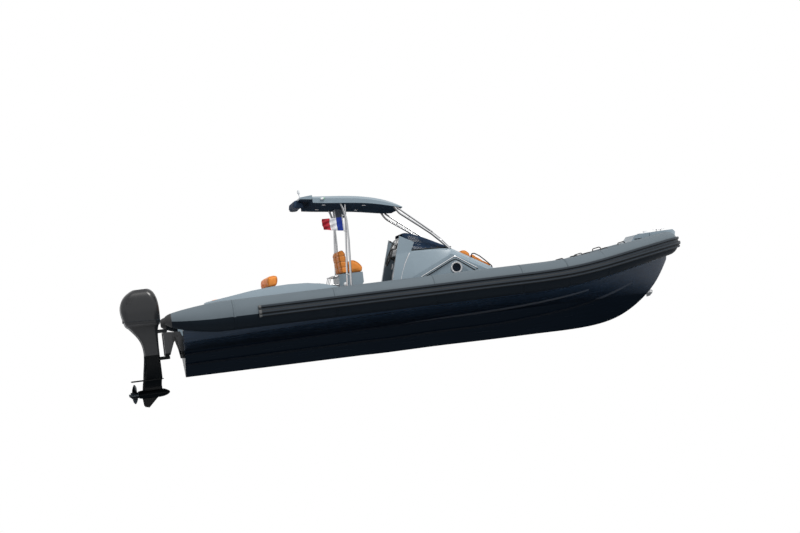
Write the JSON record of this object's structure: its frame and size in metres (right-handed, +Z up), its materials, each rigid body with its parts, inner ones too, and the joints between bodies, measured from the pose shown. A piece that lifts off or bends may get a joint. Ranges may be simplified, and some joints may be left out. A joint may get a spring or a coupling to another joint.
{
  "type": "rigid inflatable boat",
  "caption": "Rigid inflatable sport boat with inflated collar, console with small cabin, hardtop on struts, cushions and tilting outboard engines.",
  "frame": {"origin": "on the centreline at the transom, at the height of the still waterline", "axes": "+X to the bow, +Y to port, +Z up"},
  "size_m": [11.1913, 3.374, 3.801],
  "materials": {
    "hull_gelcoat": "gloss",
    "deck_gelcoat": "satin",
    "collar_fabric": "matte",
    "strake_rubber": "matte",
    "stainless": "polished",
    "smoked_glass": "gloss",
    "clear_pane": "gloss",
    "upholstery": "satin",
    "black_plastic": "matte",
    "lining_gloss": "gloss",
    "awning_canvas": "matte",
    "engine_gloss": "gloss",
    "bracket_paint": "satin",
    "prop_steel": "polished",
    "matting": "matte",
    "screen_glass": "gloss",
    "flag_cloth": "matte",
    "lamp": "gloss"
  },
  "bodies": {
    "boat": {"hull": "hull_gelcoat", "deck_matting": "matting", "tube_starboard": "collar_fabric", "tube_port": "collar_fabric", "tube_bow": "collar_fabric", "rub_strake": "strake_rubber", "aft_coamings": "deck_gelcoat", "aft_bench": "deck_gelcoat", "aft_cushions": "upholstery", "helm_seat_base": "deck_gelcoat", "helm_cushions": "upholstery", "seat_rail": "stainless", "console": "deck_gelcoat", "dash": "black_plastic", "screens": "screen_glass", "throttle": "black_plastic", "windscreen": "smoked_glass", "windscreen_trim": "strake_rubber", "porthole_rings": "stainless", "porthole_panes": "clear_pane", "cabin_handrails": "stainless", "fore_cushions": "upholstery", "fore_rails": "black_plastic", "helm_column": "black_plastic", "hardtop": "deck_gelcoat", "hardtop_lining": "lining_gloss", "awning_roll": "awning_canvas", "roof_speaker": "black_plastic", "aft_legs": "stainless", "front_struts": "stainless", "nav_lights": "lamp", "ensign_staff": "stainless", "ensign": "flag_cloth", "bow_moulding": "deck_gelcoat", "bow_cleat": "stainless", "bow_plate": "lamp", "hinges": "stainless", "bow_eye": "stainless", "grab_handles": "black_plastic", "stern_cleats": "stainless", "engine_clamps": "bracket_paint"},
    "lid": {"locker_lid": "deck_gelcoat", "lid_knuckles": "stainless"},
    "door": {"cabin_door": "deck_gelcoat", "door_fittings": "stainless"},
    "wheel": {"helm_wheel": "black_plastic"},
    "tilt_stbd_body": {"swivel_stbd": "bracket_paint"},
    "tilt_port_body": {"swivel_port": "bracket_paint"},
    "motor_stbd": {"engine_leg_stbd": "engine_gloss", "cowl_stbd": "engine_gloss"},
    "motor_port": {"engine_leg_port": "engine_gloss", "cowl_port": "engine_gloss"},
    "screw_stbd": {"propeller_stbd": "prop_steel"},
    "screw_port": {"propeller_port": "prop_steel"}
  },
  "joints": [
    {"name": "tilt_stbd", "type": "hinge", "parent": "boat", "child": "tilt_stbd_body", "pos_m": [-0.08, -0.39, 0.33], "axis": [0, 1, 0], "range_deg": [0, 60]},
    {"name": "steer_stbd", "type": "hinge", "parent": "tilt_stbd_body", "child": "motor_stbd", "pos_m": [-0.3, -0.39, 0.2], "axis": [0, 0, 1], "range_deg": [-30, 30]},
    {"name": "screw_stbd_turn", "type": "hinge", "parent": "motor_stbd", "child": "screw_stbd", "pos_m": [-1, -0.39, -0.72], "axis": [1, 0, 0], "continuous": true},
    {"name": "tilt_port", "type": "hinge", "parent": "boat", "child": "tilt_port_body", "pos_m": [-0.08, 0.39, 0.33], "axis": [0, 1, 0], "range_deg": [0, 60]},
    {"name": "steer_port", "type": "hinge", "parent": "tilt_port_body", "child": "motor_port", "pos_m": [-0.3, 0.39, 0.2], "axis": [0, 0, 1], "range_deg": [-30, 30]},
    {"name": "screw_port_turn", "type": "hinge", "parent": "motor_port", "child": "screw_port", "pos_m": [-1, 0.39, -0.72], "axis": [1, 0, 0], "continuous": true},
    {"name": "wheel_turn", "type": "hinge", "parent": "boat", "child": "wheel", "pos_m": [4.16, -0.29, 1.31], "axis": [0.9063, 0, -0.4226], "range_deg": [-720, 720]},
    {"name": "door_swing", "type": "hinge", "parent": "boat", "child": "door", "pos_m": [4.26333, 0.597, 0.85243], "axis": [-0.2696, 0, -0.963], "range_deg": [0, 90]},
    {"name": "lid_swing", "type": "hinge", "parent": "boat", "child": "lid", "pos_m": [8.6, 0, 0.87626], "axis": [0, -1, 0], "range_deg": [0, 100]}
  ],
  "couplings": [
    {"joint": "steer_port", "follows": "steer_stbd", "ratio": 1},
    {"joint": "wheel_turn", "follows": "steer_stbd", "ratio": 24}
  ]
}
